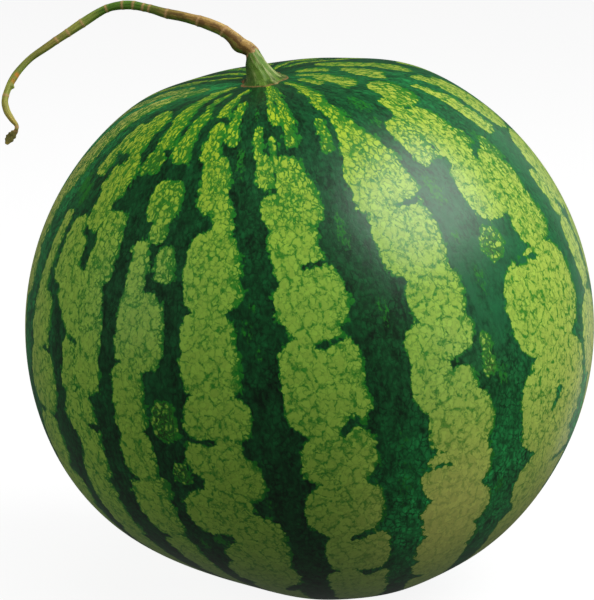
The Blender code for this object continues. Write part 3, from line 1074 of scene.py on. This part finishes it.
def stem_shape():
    """The stem's rings of points, its two end points, and what its material reads."""
    rows, travelled = evenly(vine_path()[STALK_JOINT - STEM_OVERLAP : STEM_NECK + 1], STEM_SPACING)
    angle = ring_angles(STEM_SIDES)
    outward = outward_vectors(unit(np.gradient(rows[:, :3], axis=0)), angle)
    at = travelled[:, None]
    mark = np.zeros_like(at)
    for place in RING_MARKS:
        mark = np.maximum(mark, bell(at, place, 0.55))
    ridges = 0.035 * np.cos(5 * angle + at * 0.03) + 0.02 * np.cos(8 * angle - at * 0.05 + 1)
    waves = 0.035 * np.sin(at / 3.1) + 0.03 * np.sin(at / 7.3 + 1.2) + 0.02 * np.sin(at / 1.9 + angle)
    facing_down = np.maximum(-outward[..., 2], 0)
    inner = np.maximum(outward[..., 0], 0)
    swelling = 0.42 * bell(at, SWELLING_AT, 3.2) * facing_down + 0.10 * bell(at, 3.0, 2.0)
    thorn = 0.75 * bell(at, THORN_AT, 0.9) * inner**3 + 0.12 * bell(at, THORN_AT - 4, 2.5) * inner
    reach = rows[:, 3, None] * (1 + ridges + waves + 0.07 * mark + swelling + thorn)
    points = rows[:, None, :3] + outward * reach[..., None]

    first_scar, second_scar = SCARS_AT
    facing_side = smooth_step(outward[..., 0] - outward[..., 1], 0.5, 1.2)
    fields = {
        "along": at / travelled[-1],
        "mark": mark,
        "scar": (bell(at, first_scar, 1.0) + 0.7 * bell(at, second_scar, 1.1)) * facing_side,
        "upper": outward[..., 2] * 0.5 + 0.5,
        "bark": stacked(at, 2 * np.cos(angle), 2 * np.sin(angle)),
    }
    return points, rows[[0, -1], :3], fields


def between(first, second):
    """The colour half-way from one to the other."""
    return (first + second) / 2


STEM_BROWN = (0.13, 0.062, 0.022)
# A painted highlight for the stem's upper side and a painted shadow for its underside by the stalk.
STEM_HIGHLIGHT = (0.80, 0.56, 0.20)
STEM_SHADOW = (0.025, 0.022, 0.010)
RING_TAN = (0.60, 0.36, 0.15)
SCAR_ORANGE = (0.66, 0.25, 0.03)


def stem_material(piece, look):
    """Tan and streaked near the stalk, green along the middle, olive and yellow at the far end."""
    recipe = Recipe("drying_vine_skin")
    bark = recipe.stored("bark", output="Vector")
    along = recipe.stored("along")
    upper = recipe.stored("upper")
    streaks = recipe.noise(bark * (0.13, 1.0, 1.0), 0.8, detail=3)
    mottle = recipe.noise(bark * (0.6, 1.0, 1.0), 2.5, detail=3)
    fine = recipe.noise(bark, 0.6, detail=3)

    # Its colours along the way, by the share of its length.
    stops = (
        (0.00, look.tan),
        (0.20, look.tan),
        (0.30, look.olive),
        (0.37, look.green),
        (0.48, look.green),
        (0.57, look.lime),
        (0.67, look.olive),
        (0.80, between(look.green, look.olive)),
        (0.87, look.lime),
        (0.94, between(look.lime, look.yellow)),
        (0.975, look.yellow),
        (1.00, look.olive),
    )
    place = along + (mottle - 0.5) * 0.08
    top = recipe.node("ShaderNodeValToRGB", {"stops": stops}, {"Fac": place})
    young = 1 - place.ramp(0.24, 0.42)
    below = 1 - (upper + (streaks - 0.5) * 0.6).ramp(0.22, 0.58)
    colour = recipe.blend(below * (young * 0.65 + 0.25), top, look.green * 0.8)
    colour = recipe.dimmed(colour, 0.2 + streaks * 1.6)

    # Brown streaks, a painted highlight along the upper side and a painted shadow under the stem by the
    # stalk, then the joints and the scars.
    brown = (streaks * 0.8 + mottle * 0.6).ramp(0.66, 0.76) * young
    colour = recipe.blend(brown * 0.75, colour, STEM_BROWN)
    painted_highlight = (upper + (fine - 0.5) * 0.3).ramp(0.80, 0.97) * (1 - place.ramp(0.10, 0.30))
    colour = recipe.blend(painted_highlight * 0.75, colour, STEM_HIGHLIGHT)
    painted_shadow = (1 - along.ramp(0.0, 0.035)) * (1 - upper.ramp(0.25, 0.60))
    colour = recipe.blend(painted_shadow * 0.85, colour, STEM_SHADOW)
    marks = recipe.stored("mark") * (fine * 1.2 + 0.1 + mottle * 0.4)
    colour = recipe.blend(marks.at_most(0.85), colour, RING_TAN)
    colour = recipe.blend(recipe.stored("scar").at_most(0.95), colour, SCAR_ORANGE)
    colour = recipe.dimmed(colour, 0.82 + fine * 0.36)
    normal = recipe.bump(streaks * 0.8 + fine * 0.35, 0.6, 0.0003)
    recipe.finish(piece, colour, 0.5 + mottle * 0.2, 0.35, {"Normal": normal})


class WatermelonVineStem(bpy.types.Operator):
    """Build the cut length of vine"""

    bl_idname = "object.watermelon_vine_stem"
    bl_label = "Vine stem"

    def execute(self, context):
        piece = new_tube("vine", "vine_stem", "dried_vine", *stem_shape())
        stem_material(piece, context.scene.watermelon_vine)
        return {"FINISHED"}


LEAF_SIDES = 36
LEAF_SPACING = 0.12
LEAF_OVERLAP = 3  # rows of the path by which the leaf reaches back into the stem


def leaf_shape():
    """The withered leaf's rings of points, its two end points, and what its material reads."""
    rows, travelled = evenly(vine_path()[STEM_NECK - LEAF_OVERLAP :], LEAF_SPACING)
    share = (travelled / travelled[-1])[:, None]
    sideways, forward = ring_axes(unit(np.gradient(rows[:, :3], axis=0)))
    angle = ring_angles(LEAF_SIDES)
    across = np.cos(angle) * rows[:, 3, None]
    left_edge = 0.10 * np.sin(share * 21) * (across < 0)
    right_edge = 0.08 * np.sin(share * 33 + 1) * (across > 0)
    across = across * (1 + left_edge + right_edge)
    opened = smooth_step(share, 0.05, 0.4)
    crease = 0.30 * opened * np.abs(across) + 0.10 * opened * np.sin(3.2 * across + 5 * share)
    through = np.sin(angle) * rows[:, 4, None] * 0.8 + crease
    offset = sideways[:, None] * across[..., None] + forward[:, None] * through[..., None]
    points = rows[:, None, :3] + offset
    fields = {"share": share, "bark": stacked(travelled[:, None], across, through)}
    return points, rows[[0, -1], :3], fields


LEAF_NECK_BROWN = (0.33, 0.20, 0.07)


def leaf_material(piece, look):
    """Dark olive-brown, creased and dry, with a yellower end."""
    recipe = Recipe("withered_leaf")
    bark = recipe.stored("bark", output="Vector")
    share = recipe.stored("share")
    veins = recipe.noise(bark * (0.3, 1.0, 1.0), 0.7, detail=3)
    fine = recipe.noise(bark, 0.4, detail=3)
    colour = recipe.dimmed(look.withered, 0.5 + veins * 1.1)
    neck = 1 - share.ramp(0.05, 0.30)
    colour = recipe.blend(neck * 0.8, colour, LEAF_NECK_BROWN)
    end = (share + (veins - 0.5) * 0.3).ramp(0.75, 0.98)
    colour = recipe.blend(end * 0.85, colour, look.yellow * 0.6)
    normal = recipe.bump(veins + fine * 0.4, 0.8, 0.0003)
    recipe.finish(piece, colour, 0.7 + fine * 0.15, 0.3, {"Normal": normal})


class WatermelonWitheredTip(bpy.types.Operator):
    """Build the withered leaf at the vine's end"""

    bl_idname = "object.watermelon_withered_tip"
    bl_label = "Withered tip"

    def execute(self, context):
        piece = new_tube("withered_leaf", "withered_tip", "withered_leaf", *leaf_shape())
        leaf_material(piece, context.scene.watermelon_vine)
        return {"FINISHED"}


# ---------------------------------------------------------------- the stage

CAMERA_RAISE = 12.0  # how far the camera looks down, in degrees
SENSOR_WIDTH = 36
NEAREST, FARTHEST = 0.05, 50  # what the camera sees, in metres from it
AIM_LEFT = 0.0055  # how far left of the fruit's middle the camera aims, in metres
AIM_UP = 0.0119
FLOOR_HALF = 6.0
SKY_STRENGTH = 0.08

# Each soft light: direction from the fruit (x, y, z), distance, width and height in metres, power in watts,
# and whether the gloss mirrors it.
SoftLight = namedtuple("SoftLight", "name towards distance width height power mirrored")


def add_light(light):
    """An area light that faces the fruit's middle."""
    data = bpy.data.lights.new(light.name, "AREA")
    data.shape = "RECTANGLE"
    data.size, data.size_y = light.width, light.height
    data.energy = light.power
    lamp = bpy.data.objects.new(light.name, data)
    lamp.visible_glossy = light.mirrored
    towards = Vector(light.towards).normalized()
    lamp.location = MIDDLE + towards * light.distance
    lamp.rotation_euler = towards.to_track_quat("Z", "Y").to_euler()
    bpy.context.scene.collection.objects.link(lamp)


class WatermelonStage(bpy.types.Operator):
    """Set up the floor, the soft lights and the camera"""

    bl_idname = "scene.watermelon_stage"
    bl_label = "Stage"

    def execute(self, context):
        look = context.scene.watermelon_stage
        self.add_floor(look)
        self.add_world(context.scene)
        lights = (
            SoftLight("key_softbox", (0.60, -0.22, 0.74), 2.0, 1.8, 1.3, look.key_power, True),
            SoftLight("overhead_softbox", (-0.10, -0.20, 0.97), 2.2, 1.4, 1.4, look.side_power, False),
            SoftLight("left_softbox", (-0.92, -0.25, 0.25), 2.2, 1.4, 1.4, look.side_power * 1.4, False),
            SoftLight("right_softbox", (0.84, -0.54, -0.05), 2.2, 1.4, 1.2, look.side_power * 1.5, False),
            SoftLight("rim_panel", (0.57, 0.82, 0.05), 1.5, 0.4, 1.6, look.rim_power, True),
        )
        for light in lights:
            add_light(light)
        self.add_camera(context.scene, look)
        context.scene.view_settings.view_transform = "Standard"
        return {"FINISHED"}

    @staticmethod
    def add_floor(look):
        """A pale floor that glows a little and that the fruit neither mirrors nor takes light from."""
        corners = [(x * FLOOR_HALF, y * FLOOR_HALF, 0) for x, y in ((-1, -1), (1, -1), (1, 1), (-1, 1))]
        mesh = bpy.data.meshes.new("floor")
        mesh.from_pydata(corners, [], [(0, 1, 2, 3)])
        floor = bpy.data.objects.new("floor", mesh)
        bpy.context.scene.collection.objects.link(floor)
        glow = {"Emission Color": (1.0, 1.0, 1.0), "Emission Strength": look.floor_glow}
        Recipe("pale_floor").finish(floor, look.floor, 0.9, 0.0, glow)
        floor.visible_diffuse = False
        floor.visible_glossy = False

    @staticmethod
    def add_world(scene):
        """A faint even light from all around."""
        world = bpy.data.worlds.new("studio")
        scene.world = world
        world.use_nodes = True
        background = world.node_tree.nodes["Background"]
        background.inputs["Color"].default_value = (1, 1, 1, 1)
        background.inputs["Strength"].default_value = SKY_STRENGTH

    @staticmethod
    def add_camera(scene, look):
        """A long lens in front, a little above the fruit's middle."""
        data = bpy.data.cameras.new("camera")
        data.lens = look.lens
        data.sensor_width = SENSOR_WIDTH
        data.clip_start, data.clip_end = NEAREST, FARTHEST
        camera = bpy.data.objects.new("camera", data)
        raise_angle = radians(CAMERA_RAISE)
        back = Vector((0, -cos(raise_angle), sin(raise_angle)))
        up = Vector((0, sin(raise_angle), cos(raise_angle)))
        camera.location = MIDDLE + back * look.distance
        target = MIDDLE + Vector((-AIM_LEFT, 0, 0)) + up * AIM_UP
        camera.rotation_euler = (target - camera.location).to_track_quat("-Z", "Y").to_euler()
        scene.collection.objects.link(camera)
        scene.camera = camera


# ---------------------------------------------------------------- the add-on

OPERATORS = (WatermelonStage, WatermelonRind, WatermelonStalk, WatermelonVineStem, WatermelonWitheredTip)
PROPERTY_GROUPS = {"watermelon_rind": RindLook, "watermelon_vine": VineLook, "watermelon_stage": StageLook}


class VIEW3D_PT_watermelon(bpy.types.Panel):
    """Lists the watermelon's operators and what can be changed"""

    bl_label = "Watermelon"
    bl_space_type = "VIEW_3D"
    bl_region_type = "UI"
    bl_category = "Watermelon"

    def draw(self, context):
        for operator in OPERATORS:
            self.layout.operator(operator.bl_idname)
        for group_name, group in PROPERTY_GROUPS.items():
            box = self.layout.box()
            for name in group.__annotations__:
                box.prop(getattr(context.scene, group_name), name)


CLASSES = (*PROPERTY_GROUPS.values(), *OPERATORS, VIEW3D_PT_watermelon)


def register():
    for cls in CLASSES:
        bpy.utils.register_class(cls)
    for name, group in PROPERTY_GROUPS.items():
        setattr(bpy.types.Scene, name, bpy.props.PointerProperty(type=group))


def unregister():
    for name in PROPERTY_GROUPS:
        delattr(bpy.types.Scene, name)
    for cls in reversed(CLASSES):
        bpy.utils.unregister_class(cls)


def main():
    register()
    bpy.ops.scene.watermelon_stage()
    bpy.ops.object.watermelon_rind()
    bpy.ops.object.watermelon_stalk()
    bpy.ops.object.watermelon_vine_stem()
    bpy.ops.object.watermelon_withered_tip()


if __name__ == "__main__":
    main()
